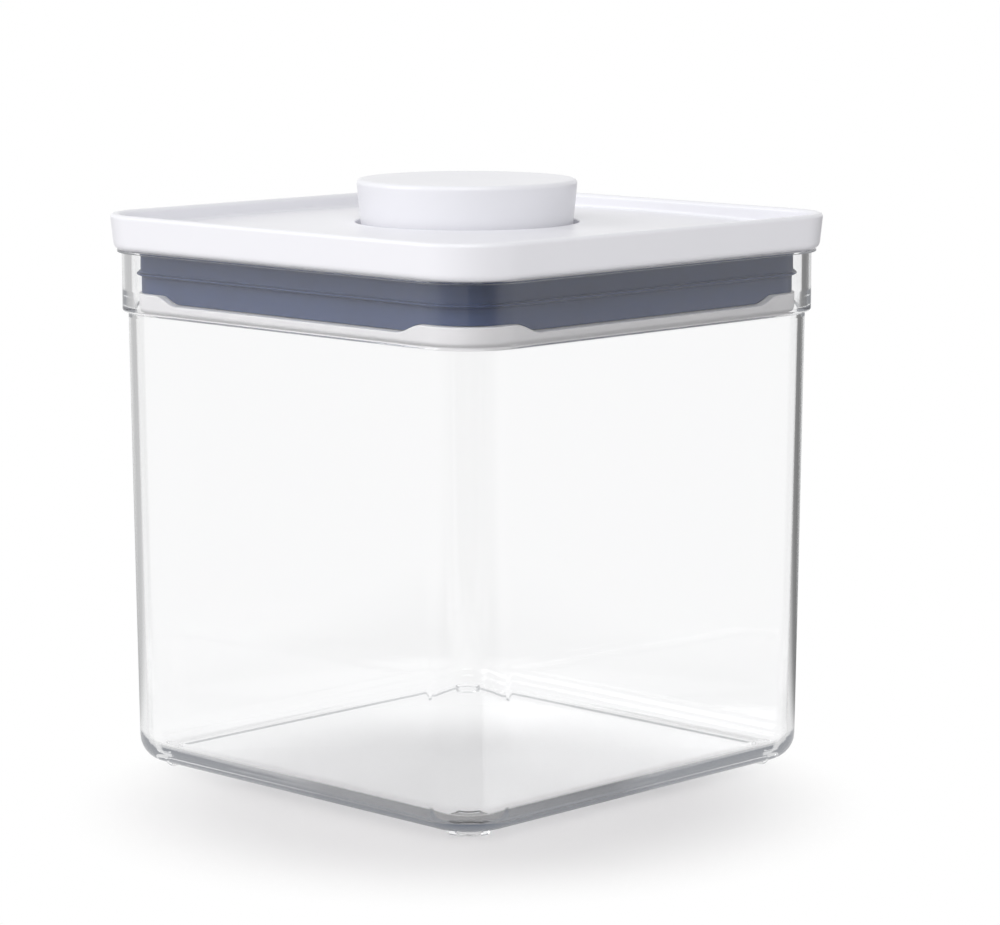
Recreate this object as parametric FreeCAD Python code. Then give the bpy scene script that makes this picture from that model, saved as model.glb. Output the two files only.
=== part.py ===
"""Square food storage container with a push-button sealing lid.

Millimetres, +Z up. The origin is the centre of the footprint on the plane that the feet stand on.
The lid rests on the container's rim. Pressing the button tips four rocker levers, which lift the
frame under the silicone gasket and squeeze the gasket out against the container's wall.
"""

import FreeCAD
import Part

import math
import os

Vector = FreeCAD.Vector
UP = Vector(0, 0, 1)
EAST = Vector(1, 0, 0)
NORTH = Vector(0, 1, 0)
ORIGIN = Vector(0, 0, 0)

# Container
container_height = 155.0        # feet to rim
body_half = 75.9                # half the width of the walls just under the ledge
corner_radius = 17.8            # outer corner of the walls there
wall = 3.0
wall_taper = 1.75               # how far each wall leans in from the ledge down to the base
rim_step = 1.75                 # how far the band under the rim stands out from the walls
rim_band = 18.0                 # height of that band
rim_inner_step = 4.0            # height over which the inside of the wall steps out to the band
rim_lip_radius = 0.9            # inner edge of the rim
rim_flange = 1.4                # thin flange round the rim, past the band
rim_flange_thickness = 1.0
rim_flange_round = 0.4
ledge_radius = 0.8
floor_thickness = 3.0
base_round = 7.5                # outer edge of the base
floor_round = 4.5               # inner edge of the floor
base_recess = 0.8               # hollow under the base, inside its ring
base_ring_width = 2.6
foot_height = 1.5
foot_width = 4.4
foot_edge = 0.5                 # bevel along each foot
foot_sweep = 84.0               # degrees of the corner that each foot follows

# Lid cover
lid_overhang = 2.45             # past the band under the rim
lid_corner_radius = 20.0
lid_height = 10.5
lid_side_lean = 1.1             # how far the side leans in from top to bottom
lid_bottom_round = 2.2
lid_rim_width = 3.0
lid_rim_outer_round = 1.0
lid_rim_inner_round = 1.2
deck_depth = 4.1                # rim to deck, at the middle of a side
deck_crown = 1.6                # rise of the deck from there to the button hole
deck_thickness = 1.9
cover_post_radius = 3.2
cover_post_inset = 22.0         # from the cover's side to a post's axis

# Button
button_radius = 32.6            # widest, at the top
button_draft = 0.1              # radius lost per millimetre down
button_travel = 11.0
button_recess = 1.0             # pressed button below the lid's rim
button_wall = 1.8
button_top_thickness = 2.2
button_edge_round = 1.3
button_dish = 0.7               # hollow in the top face
button_gap = 1.65               # button to deck, at the hole's edge
flange_overlap = 1.2            # button flange under the deck
flange_thickness = 1.3
stop_gap = 0.3                  # raised button's flange to the deck

# Gasket and the frame that squeezes it
plug_depth = 18.6               # lid's seat to the bottom of the frame
gasket_squeeze = 3.0            # lift of the frame
frame_clearance = 0.25          # frame to container wall
frame_edge = 3.0                # height of the frame's visible edge along the sides
frame_corner_rise = 2.6         # extra height of that edge at the corners
frame_edge_round = 1.6
frame_top_round = 0.4
corner_flat = 55.25             # the edge is full height from here out to the corner
corner_ramp = 7.0               # length of the ramp up to it
frame_seat_width = 5.1          # step inside the edge that carries the gasket
guide_wall = 1.6
cover_plate = 1.8
cover_land = 3.6                # bottom cover past the frame's opening
cover_edge_bevel = 0.5
lip_gap = 1.95                  # gasket lip to the container's wall, before the squeeze
lip_reach = 1.4
lip_drop = 6.7                  # lid's seat to the top of the lip
lip_thickness = 1.2
gasket_skin = 2.0
gasket_fold = 1.7               # thickness of the gasket's inward folds
skirt_step = 0.5                # how far the skirt under the lip is set in
face_lean = 0.4                 # how far the face above the lip leans in
soft_gap = 0.15                 # gasket to what squeezes it
slide_clearance = 0.3           # frame guide wall and gasket folds to the plug wall

# Housing under the cover
housing_plate = 2.0
plug_wall = 1.8
snap_clearance = 0.15
guide_clearance = 0.3           # button flange in its guide tube
guide_tube_wall = 1.6
guide_tube_depth = 7.0          # below the lid's seat

# Rocker levers
lever_width = 7.0
lever_thickness = 2.4
lever_boss_radius = 2.7
nose_radius = 1.4
nose_inset = 2.3                # outer nose to the frame's guide wall
push_gap = 0.15                 # nose to what it pushes or is pushed by
side_clearance = 0.25
ear_thickness = 2.0
ear_radius = 3.2
pin_radius = 1.25
pin_fit = 0.05                  # running clearance of a lever on its pin
press_fit = 0.02                # clearance of a pin in the part that grips it
lug_thickness = 1.6
lug_width = 9.0

# Button core, return spring and index barrel
pusher_radius = 18.2            # middle of the rim that pushes the levers
pusher_wall = 2.6
core_disc_radius = 27.0
core_disc_thickness = 1.7
core_ring_width = 1.3
core_ring_depth = 2.6
index_tube_wall = 1.8
barrel_radius = 8.1
barrel_clearance = 0.3
track_depth = 1.8
track_cycles = 4
track_turn = 36.0               # degrees that the barrel turns as the button goes down
latch_rise = 0.7                # latched button above its lowest point
track_clearance = 0.3
track_overcut = 0.5             # how far the track's cutter runs past the sleeve that it cuts
index_pin_radius = 1.0
post_radius = 3.0
post_cap = 1.0
retainer_radius = 5.0
retainer_thickness = 0.6
thrust_gap = 0.15
spring_wire = 1.2
spring_radius = 13.3            # middle of the wire
chassis_thickness = 2.2
chassis_clearance = 0.7
chassis_hub_radius = 15.4
chassis_arm_width = 9.0
chassis_post = 7.0              # side of the square posts
chassis_post_gap = 0.6          # posts to the guide tube
spigot_radius = 1.8
seat_clearance = 0.75           # pressed button core above the chassis

# How far a cutter runs past what it cuts
past = 1.0

# Places that follow from the sizes above
corner_centre = body_half - corner_radius
band_half = body_half + rim_step
band_inner_half = band_half - wall
rim_half = band_half + rim_flange
flange_z = container_height - rim_flange_thickness
wall_inner_half = body_half - wall
ledge_z = container_height - rim_band
base_ring_z = foot_height
base_half = body_half - wall_taper
floor_z = base_ring_z + base_recess + floor_thickness

seat_z = container_height
lid_half = band_half + lid_overhang
lid_centre = lid_half - lid_corner_radius
lid_top_z = seat_z + lid_height
lid_inner_half = lid_half - lid_rim_width
deck_edge_z = lid_top_z - deck_depth
deck_hole_z = deck_edge_z + deck_crown

button_top_z = lid_top_z + button_travel - button_recess
hole_radius = button_radius - button_draft * (button_top_z - deck_hole_z) + button_gap
crown_radius = (lid_inner_half ** 2 - hole_radius ** 2) / (2 * deck_crown)
deck_apex_z = deck_hole_z + hole_radius ** 2 / (2 * crown_radius)
deck_under_z = deck_hole_z - deck_thickness
flange_top_z = deck_under_z - stop_gap
flange_bottom_z = flange_top_z - flange_thickness
flange_radius = hole_radius + flange_overlap
guide_inner_radius = flange_radius + guide_clearance
guide_outer_radius = guide_inner_radius + guide_tube_wall

frame_half = wall_inner_half - frame_clearance
frame_bottom_z = seat_z - plug_depth
edge_top_z = frame_bottom_z + frame_edge
corner_top_z = edge_top_z + frame_corner_rise
lip_half = band_inner_half - lip_gap
gasket_half = lip_half - lip_reach
gasket_inner_half = gasket_half - gasket_skin
seat_half = gasket_inner_half - slide_clearance
guide_wall_half = seat_half - frame_seat_width
guide_inner_half = guide_wall_half - guide_wall
plug_inner_half = guide_wall_half + slide_clearance
plug_half = plug_inner_half + plug_wall
fold_inner_half = plug_half + slide_clearance
cover_half = guide_inner_half + cover_land
cover_top_z = frame_bottom_z + cover_plate

chassis_bottom_z = cover_top_z + gasket_squeeze + chassis_clearance
chassis_top_z = chassis_bottom_z + chassis_thickness
pusher_z = chassis_top_z + seat_clearance + button_travel
pivot_z = pusher_z - push_gap - nose_radius - button_travel / 2
outer_nose_at = guide_inner_half - nose_inset
lever_span = outer_nose_at - pusher_radius
inner_arm = lever_span * button_travel / (button_travel + gasket_squeeze)
outer_arm = lever_span - inner_arm
lever_tilt = math.degrees(math.asin(button_travel / 2 / inner_arm))
pivot_at = outer_nose_at - outer_arm
lug_bottom_z = pivot_z - gasket_squeeze / 2 + nose_radius + push_gap
lug_top_z = lug_bottom_z + lug_thickness
ear_gap = lever_width + 2 * side_clearance
ear_reach = ear_gap / 2 + ear_thickness

core_top_z = button_top_z - button_dish - button_top_thickness
core_under_z = core_top_z - core_disc_thickness
index_bore = barrel_radius + barrel_clearance
index_tube_radius = index_bore + index_tube_wall
barrel_bottom_z = chassis_top_z + thrust_gap
track_floor = barrel_radius - track_depth
track_half_width = index_pin_radius + track_clearance
index_pin_z = barrel_bottom_z + track_half_width + thrust_gap + button_travel + latch_rise
barrel_top_z = index_pin_z + track_half_width
index_tube_z = index_pin_z - track_half_width
retainer_z = barrel_top_z + thrust_gap
post_top_z = retainer_z + retainer_thickness + post_cap
post_at = guide_outer_radius + chassis_post_gap + chassis_post / 2


def rounded_outline(corners):
    """Closed wire in the XZ plane through (x, z) or (x, z, radius) corners, a radius giving an arc."""
    points = [Vector(c[0], 0, c[1]) for c in corners]
    radii = [c[2] if len(c) > 2 else 0 for c in corners]
    count = len(points)
    starts = []
    ends = []
    arcs = []
    for i in range(count):
        to_last = (points[i - 1] - points[i]).normalize()
        to_next = (points[(i + 1) % count] - points[i]).normalize()
        half_angle = to_last.getAngle(to_next) / 2
        if not radii[i]:
            starts.append(points[i])
            ends.append(points[i])
            continue
        reach = radii[i] / math.tan(half_angle)
        inward = (to_last + to_next).normalize()
        middle = points[i] + inward * (radii[i] / math.sin(half_angle) - radii[i])
        starts.append(points[i] + to_last * reach)
        ends.append(points[i] + to_next * reach)
        arcs.append(Part.Arc(starts[i], middle, ends[i]).toShape())
    edges = list(arcs)
    for i in range(count):
        following = starts[(i + 1) % count]
        if (following - ends[i]).Length > 1e-6:
            edges.append(Part.makeLine(ends[i], following))
    return Part.Wire(Part.__sortEdges__(edges))


def turned(shape, degrees, centre=ORIGIN, axis=UP):
    """Copy of a shape, turned about an axis."""
    copy = shape.copy()
    copy.rotate(centre, axis, degrees)
    return copy


def four_sides(shape):
    """The shape repeated at each quarter turn about the origin."""
    return [turned(shape, 90 * i) for i in range(4)]


def fused(shapes):
    """One clean solid from shapes that meet."""
    whole = shapes[0].multiFuse(shapes[1:])
    return whole.removeSplitter()


def square_sweep(corners, centre, core=None):
    """Carry a profile round a square with rounded corners.

    The profile is drawn at the middle of a side, as distance from the axis and height. Each corner
    turns about a vertical axis at centre. A core gives the heights of the block inside.
    """
    face = Part.Face(rounded_outline(corners))
    face.translate(Vector(0, centre, 0))
    side = face.extrude(Vector(0, -2 * centre, 0))
    corner = face.revolve(Vector(centre, centre, 0), UP, 90)
    pieces = four_sides(side) + four_sides(corner)
    if core:
        low, high = core
        pieces.append(Part.makeBox(2 * centre, 2 * centre, high - low, Vector(-centre, -centre, low)))
    return fused(pieces)


def square_block(half, centre, low, high):
    """Upright block whose plan is a square with rounded corners."""
    corners = [(centre, low), (half, low), (half, high), (centre, high)]
    return square_sweep(corners, centre, (low, high))


def square_ring(outer_half, inner_half, centre, low, high):
    """Upright wall whose plan is a square ring with rounded corners."""
    corners = [(inner_half, low), (outer_half, low), (outer_half, high), (inner_half, high)]
    return square_sweep(corners, centre)


def revolved(corners):
    """Solid turned about the Z axis from a profile of (radius, z) corners."""
    return Part.Face(rounded_outline(corners)).revolve(ORIGIN, UP, 360)


def tube(outer, inner, low, high):
    """Round tube about the Z axis."""
    return revolved([(inner, low), (outer, low), (outer, high), (inner, high)])


def cylinder(radius, low, high, x=0, y=0):
    """Upright cylinder."""
    return Part.makeCylinder(radius, high - low, Vector(x, y, low))


def centred_box(x_low, x_high, width, low, high):
    """Box along X, centred on the XZ plane."""
    return Part.makeBox(x_high - x_low, width, high - low, Vector(x_low, -width / 2, low))


def container_body():
    """Clear tapered box with a band and a flange at its rim, a rounded base, a base ring and corner feet."""
    under_z = base_ring_z + base_recess
    ring_outer = base_half - base_round
    ring_inner = ring_outer - base_ring_width
    shell = square_sweep([
        (corner_centre, under_z),
        (ring_inner - base_recess, under_z),
        (ring_inner, base_ring_z),
        (base_half, base_ring_z, base_round),
        (body_half, ledge_z - ledge_radius),
        (band_half, ledge_z, ledge_radius),
        (band_half, flange_z),
        (rim_half, flange_z),
        (rim_half, container_height, rim_flange_round),
        (band_inner_half, container_height, rim_lip_radius),
        (band_inner_half, ledge_z + rim_inner_step),
        (wall_inner_half, ledge_z),
        (base_half - wall, floor_z, floor_round),
        (corner_centre, floor_z),
    ], corner_centre, (under_z, floor_z))
    foot_outer = ring_outer
    foot_inner = foot_outer - foot_width
    foot_profile = Part.Face(rounded_outline([
        (foot_inner, under_z),
        (foot_inner, foot_edge),
        (foot_inner + foot_edge, 0),
        (foot_outer - foot_edge, 0),
        (foot_outer, foot_edge),
        (foot_outer, under_z),
    ]))
    corner_axis = Vector(corner_centre, corner_centre, 0)
    foot_profile.translate(Vector(0, corner_centre, 0))
    foot = foot_profile.revolve(corner_axis, UP, foot_sweep)
    foot.rotate(corner_axis, UP, (90 - foot_sweep) / 2)
    return fused([shell] + four_sides(foot))


def lying_ball(radius, centre_z, seam_turn):
    """Ball on the axis with its poles on the X axis, turned so that its seam misses the side in use."""
    centre = Vector(0, 0, centre_z)
    return turned(Part.makeSphere(radius, centre, EAST), seam_turn, centre, EAST)


def crown_ball(top_z):
    """Ball whose top gives the deck its crown, under a given height at the axis."""
    return lying_ball(crown_radius, top_z - crown_radius, 180)


def lid_cover():
    """White cover with a raised rim, a crowned deck, the button hole and four posts inside."""
    above_z = lid_top_z + lid_height
    block = square_sweep([
        (lid_centre, seat_z),
        (lid_half - lid_side_lean, seat_z, lid_bottom_round),
        (lid_half, lid_top_z, lid_rim_outer_round),
        (lid_centre, lid_top_z),
    ], lid_centre, (seat_z, lid_top_z))
    recess = square_sweep([
        (lid_centre, seat_z),
        (lid_inner_half, seat_z),
        (lid_inner_half, lid_top_z, lid_rim_inner_round),
        (lid_half + lid_rim_width, lid_top_z),
        (lid_half + lid_rim_width, above_z),
        (lid_centre, above_z),
    ], lid_centre, (seat_z, above_z)).cut(crown_ball(deck_apex_z))
    hollow = square_block(lid_inner_half, lid_centre, seat_z - lid_height, lid_top_z)
    hollow = hollow.common(crown_ball(deck_apex_z - deck_thickness))
    hole = cylinder(hole_radius, seat_z, above_z)
    post_x = lid_half - cover_post_inset
    post = cylinder(cover_post_radius, seat_z + housing_plate, lid_top_z, post_x, post_x)
    posts = [piece.common(crown_ball(deck_apex_z - deck_thickness / 2)) for piece in four_sides(post)]
    return fused([block.cut(recess).cut(hollow).cut(hole)] + posts)


def housing():
    """Plate that closes the cover, with the plug wall, the button's guide tube and the lever ears."""
    flange_half = lid_inner_half - snap_clearance
    plate = square_block(flange_half, lid_centre, seat_z, seat_z + housing_plate)
    plate = plate.cut(cylinder(guide_inner_radius, seat_z - past, seat_z + housing_plate + past))
    plug_bottom_z = corner_top_z + gasket_squeeze + slide_clearance * 2
    skirt = square_ring(plug_half, plug_inner_half, corner_centre, plug_bottom_z, seat_z)
    guide = tube(guide_outer_radius, guide_inner_radius, seat_z - guide_tube_depth, flange_top_z)
    body = fused([plate, skirt, guide])
    window = centred_box(
        guide_outer_radius, plug_inner_half, ear_gap, seat_z - past, seat_z + housing_plate + past)
    slot_top_z = pivot_z + (pivot_at - guide_inner_radius) * math.tan(math.radians(lever_tilt))
    slot_top_z += lever_thickness
    slot = centred_box(
        guide_inner_radius / 2, guide_outer_radius + past, ear_gap,
        seat_z - guide_tube_depth - past, slot_top_z)
    cuts = four_sides(window) + four_sides(slot)
    for i in range(4):
        angle = math.radians(45 + 90 * i)
        cuts.append(cylinder(
            spigot_radius + press_fit, seat_z - past, seat_z + housing_plate + past,
            post_at * math.cos(angle), post_at * math.sin(angle)))
    ears = []
    for near in (-ear_reach, ear_gap / 2):
        cheek = Part.makeBox(
            2 * ear_radius, ear_thickness, seat_z + housing_plate / 2 - pivot_z,
            Vector(pivot_at - ear_radius, near, pivot_z))
        nose = Part.makeCylinder(ear_radius, ear_thickness, Vector(pivot_at, near, pivot_z), NORTH)
        ears += four_sides(cheek) + four_sides(nose)
    bore = Part.makeCylinder(
        pin_radius + press_fit, 2 * (ear_reach + past), Vector(pivot_at, -ear_reach - past, pivot_z), NORTH)
    cuts += four_sides(bore)
    return fused([body] + ears).cut(cuts)


def chassis():
    """Spider under the button: spring seat, barrel post and four posts staked to the housing."""
    arm_end = post_at + chassis_post / 2
    arm = centred_box(0, arm_end, chassis_arm_width, chassis_bottom_z, chassis_top_z)
    post = centred_box(arm_end - chassis_post, arm_end, chassis_post, chassis_bottom_z, seat_z)
    spigot = cylinder(spigot_radius, seat_z - spigot_radius, seat_z + housing_plate, post_at)
    legs = [turned(piece, 45) for shape in (arm, post, spigot) for piece in four_sides(shape)]
    hub = cylinder(chassis_hub_radius, chassis_bottom_z, chassis_top_z)
    barrel_post = cylinder(post_radius, chassis_bottom_z, post_top_z)
    return fused([hub, barrel_post] + legs)


def button_cap():
    """White push button: dished top, leaning side, a flange that stops under the deck."""
    def radius_at(z):
        return button_radius - button_draft * (button_top_z - z)
    under_z = core_top_z
    dish_depth_z = button_top_z - button_dish
    dish_radius = button_radius - 3 * button_edge_round
    ball = dish_radius ** 2 / (2 * button_dish)
    shell = revolved([
        (0, under_z),
        (radius_at(under_z) - button_wall, under_z),
        (radius_at(flange_top_z) - button_wall, flange_bottom_z),
        (flange_radius, flange_bottom_z),
        (flange_radius, flange_top_z),
        (radius_at(flange_top_z), flange_top_z),
        (radius_at(button_top_z), button_top_z, button_edge_round),
        (0, button_top_z),
    ])
    dish = lying_ball(ball, dish_depth_z + ball, 0)
    ring = tube(
        core_disc_radius + snap_clearance + core_ring_width, core_disc_radius + snap_clearance,
        under_z - core_ring_depth, under_z)
    return fused([shell.cut(dish), ring])


def button_core():
    """Disc, pusher tube and index tube that hang under the button cap."""
    pusher_outer = pusher_radius + pusher_wall / 2
    pusher_inner = pusher_radius - pusher_wall / 2
    disc = tube(core_disc_radius, index_bore, core_under_z, core_top_z)
    pusher = tube(pusher_outer, pusher_inner, pusher_z, core_under_z)
    index = tube(index_tube_radius, index_bore, index_tube_z, core_under_z)
    pin_hole = Part.makeCylinder(
        index_pin_radius + press_fit, 2 * (index_tube_radius + past),
        Vector(-index_tube_radius - past, 0, index_pin_z), EAST)
    return fused([disc, pusher, index]).cut(pin_hole)


def index_pins():
    """Two steel pins that reach from the index tube into the barrel's track."""
    inner = track_floor + barrel_clearance
    pins = []
    for side in (-1, 1):
        pins.append(Part.makeCylinder(
            index_pin_radius, index_tube_radius - inner,
            Vector(side * inner, 0, index_pin_z), EAST * side))
    return Part.makeCompound(pins)


def track_section(angle, z, along_turn, along_z):
    """Square-cornered section of the track's cutter, across a stretch that runs (turn, z)."""
    length = math.hypot(along_turn, along_z)
    across_turn = -along_z / length * track_half_width
    across_z = along_turn / length * track_half_width
    radial = Vector(math.cos(angle), math.sin(angle), 0)
    tangent = Vector(-math.sin(angle), math.cos(angle), 0)
    across = tangent * across_turn + UP * across_z
    middle = UP * z
    near = radial * (track_floor - track_overcut)
    far = radial * (barrel_radius + track_overcut)
    points = [middle + near - across, middle + far - across, middle + far + across, middle + near + across]
    return Part.makePolygon(points + points[:1])


def index_barrel():
    """Barrel cam: each press carries the pins down one slanted track, past a latch notch and up the next."""
    lowest = index_pin_z - button_travel
    cycle = 360.0 / track_cycles
    rest_of_cycle = cycle - 2 * track_turn
    route = [
        (0, barrel_top_z + past),
        (0, index_pin_z),
        (-track_turn, lowest),
        (-track_turn - rest_of_cycle / 2, lowest + latch_rise),
        (-track_turn - rest_of_cycle, lowest),
        (-cycle, index_pin_z),
    ]
    arc_radius = (track_floor + barrel_radius) / 2
    cutters = []
    for start, end in zip(route, route[1:]):
        turn = math.radians(end[0] - start[0])
        rise = end[1] - start[1]
        steps = max(1, math.ceil(abs(end[0] - start[0]) / 9))
        sections = []
        for step in range(steps + 1):
            share = step / steps
            angle = math.radians(start[0]) + turn * share
            sections.append(track_section(angle, start[1] + rise * share, turn * arc_radius, rise))
        cutters.append(Part.makeLoft(sections, True, True))
        end_angle = math.radians(end[0])
        outward = Vector(math.cos(end_angle), math.sin(end_angle), 0)
        cutters.append(Part.makeCylinder(
            track_half_width, track_depth + 2 * track_overcut,
            outward * (track_floor - track_overcut) + UP * end[1], outward))
    sleeve = tube(barrel_radius, track_floor, barrel_bottom_z, barrel_top_z)
    for i in range(track_cycles):
        for cutter in cutters:
            sleeve = sleeve.cut(turned(cutter, cycle * i))
    core = tube(track_floor, post_radius + pin_fit, barrel_bottom_z, barrel_top_z)
    return fused([core, sleeve])


def barrel_retainer():
    """Steel push-on washer that keeps the barrel on its post."""
    return tube(retainer_radius, post_radius + press_fit, retainer_z, retainer_z + retainer_thickness)


def return_spring():
    """Plain compression spring, drawn as the sleeve that its coils fill."""
    return tube(
        spring_radius + spring_wire / 2, spring_radius - spring_wire / 2, chassis_top_z, core_under_z)


def rocker_lever():
    """Lever along +X with a round nose at each end, tipped so that its inner end is up."""
    inner_nose_at = pivot_at - inner_arm
    bar = centred_box(
        inner_nose_at, outer_nose_at, lever_width,
        pivot_z - lever_thickness / 2, pivot_z + lever_thickness / 2)
    rounds = []
    for x, radius in (
            (inner_nose_at, nose_radius), (pivot_at, lever_boss_radius), (outer_nose_at, nose_radius)):
        rounds.append(Part.makeCylinder(radius, lever_width, Vector(x, -lever_width / 2, pivot_z), NORTH))
    bore = Part.makeCylinder(
        pin_radius + pin_fit, lever_width + 2 * past,
        Vector(pivot_at, -lever_width / 2 - past, pivot_z), NORTH)
    lever = fused([bar] + rounds).cut(bore)
    return turned(lever, lever_tilt, Vector(pivot_at, 0, pivot_z), NORTH)


def lever_pin():
    """Steel pin of the lever along +X, gripped by both ears."""
    return Part.makeCylinder(pin_radius, 2 * ear_reach, Vector(pivot_at, -ear_reach, pivot_z), NORTH)


def corner_rises(outer_half, inner_half, low, gap=0):
    """The four raised corners of the frame's edge, with a ramp at each end, or the room for them."""
    high = corner_top_z + gap
    ring = square_ring(outer_half, inner_half, corner_centre, low, high)
    reach = outer_half + past
    foot = corner_flat - corner_ramp
    ramp_profile = Part.makePolygon([
        Vector(foot, -reach, low), Vector(foot, -reach, edge_top_z + gap), Vector(corner_flat, -reach, high),
        Vector(reach, -reach, high), Vector(reach, -reach, low), Vector(foot, -reach, low)])
    east = Part.Face(ramp_profile).extrude(Vector(0, 2 * reach, 0))
    west = turned(east, 180)
    north = turned(east, 90)
    south = turned(east, 270)
    return ring.common(east.fuse(west)).common(north.fuse(south))


def gasket_frame():
    """White frame under the gasket, with a guide wall inside the plug wall and a lug over each lever."""
    frame = square_sweep([
        (cover_half, frame_bottom_z),
        (frame_half, frame_bottom_z, frame_edge_round),
        (frame_half, edge_top_z, frame_top_round),
        (seat_half, edge_top_z),
        (seat_half, corner_top_z),
        (guide_wall_half, corner_top_z),
        (guide_wall_half, lug_top_z),
        (guide_inner_half, lug_top_z),
        (guide_inner_half, cover_top_z),
        (cover_half, cover_top_z),
    ], corner_centre)
    corners = corner_rises(frame_half, seat_half, edge_top_z - frame_edge / 2)
    lug = centred_box(
        outer_nose_at - nose_radius, guide_inner_half + guide_wall / 2, lug_width, lug_bottom_z, lug_top_z)
    return fused([frame, corners] + four_sides(lug))


def bottom_cover():
    """Plate that closes the frame from below."""
    return square_sweep([
        (corner_centre, frame_bottom_z),
        (cover_half - snap_clearance - cover_edge_bevel, frame_bottom_z),
        (cover_half - snap_clearance, frame_bottom_z + cover_edge_bevel),
        (cover_half - snap_clearance, cover_top_z),
        (corner_centre, cover_top_z),
    ], corner_centre, (frame_bottom_z, cover_top_z))


def gasket():
    """Silicone ring between the housing and the frame, with a lip that meets the container's wall."""
    top_z = seat_z - soft_gap
    skirt_bottom_z = edge_top_z + soft_gap
    fold_bottom_z = corner_top_z + soft_gap
    lip_top_z = seat_z - lip_drop
    ring = square_sweep([
        (gasket_inner_half, skirt_bottom_z),
        (gasket_half - skirt_step, skirt_bottom_z),
        (gasket_half - skirt_step, lip_top_z - lip_thickness),
        (lip_half, lip_top_z - lip_thickness / 3),
        (lip_half, lip_top_z),
        (gasket_half, lip_top_z),
        (gasket_half - face_lean, top_z),
        (fold_inner_half, top_z),
        (fold_inner_half, top_z - gasket_fold),
        (gasket_inner_half, top_z - gasket_fold),
        (gasket_inner_half, fold_bottom_z + gasket_fold),
        (fold_inner_half, fold_bottom_z + gasket_fold),
        (fold_inner_half, fold_bottom_z),
        (gasket_inner_half, fold_bottom_z),
    ], corner_centre)
    return ring.cut(corner_rises(lip_half, guide_wall_half, frame_bottom_z, soft_gap))


def save(name, shape):
    """Write one sub-part."""
    shape.exportStep("parts/" + name + ".step")
    print(name, "solids", len(shape.Solids), "volume", round(shape.Volume, 1), "valid", shape.isValid())


def main():
    """Build and write every sub-part."""
    os.makedirs("parts", exist_ok=True)
    save("container_body", container_body())
    save("lid_cover", lid_cover())
    save("inner_housing", housing())
    save("mechanism_chassis", chassis())
    save("button_cap", button_cap())
    save("button_core", button_core())
    save("index_pins", index_pins())
    save("index_barrel", index_barrel())
    save("barrel_retainer", barrel_retainer())
    save("return_spring", return_spring())
    for i, (lever, pin) in enumerate(zip(four_sides(rocker_lever()), four_sides(lever_pin()))):
        save("rocker_lever_" + str(i + 1), lever)
        save("lever_pin_" + str(i + 1), pin)
    save("gasket_frame", gasket_frame())
    save("bottom_cover", bottom_cover())
    save("gasket", gasket())
    print("lever tilt each way", round(lever_tilt, 4), "degrees about", round(pivot_at, 3), round(pivot_z, 3))
    print("lever turn per metre of button", round(math.radians(2 * lever_tilt) / button_travel * 1000, 4))
    print("frame lift per metre of button", round(gasket_squeeze / button_travel, 6))
    print("barrel turn per metre of button", round(math.radians(track_turn) / button_travel * 1000, 4))


main()
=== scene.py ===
"""Dressed model of a clear, square storage container with a push-button sealing lid.

The packed model is loaded as a fixed frame. The pieces that show are surfaces worked out as whole
arrays, in the same place as the solids that they stand for. Sizes are in metres.
"""

import math

import bpy
import numpy as np
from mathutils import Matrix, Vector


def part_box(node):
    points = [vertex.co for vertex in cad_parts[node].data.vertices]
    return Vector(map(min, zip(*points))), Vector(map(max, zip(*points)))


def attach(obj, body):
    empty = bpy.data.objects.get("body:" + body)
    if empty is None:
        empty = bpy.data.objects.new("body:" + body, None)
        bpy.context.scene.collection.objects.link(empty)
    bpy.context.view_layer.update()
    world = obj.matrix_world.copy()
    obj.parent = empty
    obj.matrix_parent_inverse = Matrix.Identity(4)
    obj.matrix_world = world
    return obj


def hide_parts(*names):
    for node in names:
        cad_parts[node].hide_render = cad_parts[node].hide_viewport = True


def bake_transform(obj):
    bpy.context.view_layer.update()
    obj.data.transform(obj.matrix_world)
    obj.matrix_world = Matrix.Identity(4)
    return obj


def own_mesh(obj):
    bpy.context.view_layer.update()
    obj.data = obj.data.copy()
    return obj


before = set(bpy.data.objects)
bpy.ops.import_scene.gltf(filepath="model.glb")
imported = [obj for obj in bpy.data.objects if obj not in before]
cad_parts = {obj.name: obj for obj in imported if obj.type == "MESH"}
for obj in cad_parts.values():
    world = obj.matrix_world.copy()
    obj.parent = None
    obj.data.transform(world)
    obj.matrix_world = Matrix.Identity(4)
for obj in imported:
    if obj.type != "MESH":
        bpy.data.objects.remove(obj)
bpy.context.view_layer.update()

bl_info = {
    "name": "Sealing storage container",
    "version": (1, 0, 0),
    "blender": (4, 5, 0),
    "location": "3D View > Sidebar > Container",
    "description": "Builds a clear square container, its push-button lid and a plain studio",
    "category": "Object",
}

BODY_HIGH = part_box("container_body")[1]
COVER_LOW, COVER_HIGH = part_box("lid_cover")
BUTTON_LOW, BUTTON_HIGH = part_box("button_cap")
FRAME_LOW, FRAME_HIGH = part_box("gasket_frame")
PLATE_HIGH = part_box("bottom_cover")[1]
GASKET_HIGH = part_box("gasket")[1]
SPRING_LOW, SPRING_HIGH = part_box("return_spring")


def length(name, description, default):
    """A size in metres, shown in the scene's units."""
    return bpy.props.FloatProperty(
        name=name, description=description, default=default, unit="LENGTH", subtype="DISTANCE", precision=5)


def angle(name, description, default):
    """An angle given in degrees, kept in radians."""
    return bpy.props.FloatProperty(
        name=name, description=description, default=math.radians(default), unit="ROTATION", subtype="ANGLE")


def colour(name, description, default):
    """A colour in linear light."""
    return bpy.props.FloatVectorProperty(
        name=name, description=description, default=default, subtype="COLOR", size=3, min=0, max=1)


def amount(name, description, default, top=1.0):
    """A plain number from 0 up."""
    return bpy.props.FloatProperty(name=name, description=description, default=default, min=0, max=top)


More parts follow.
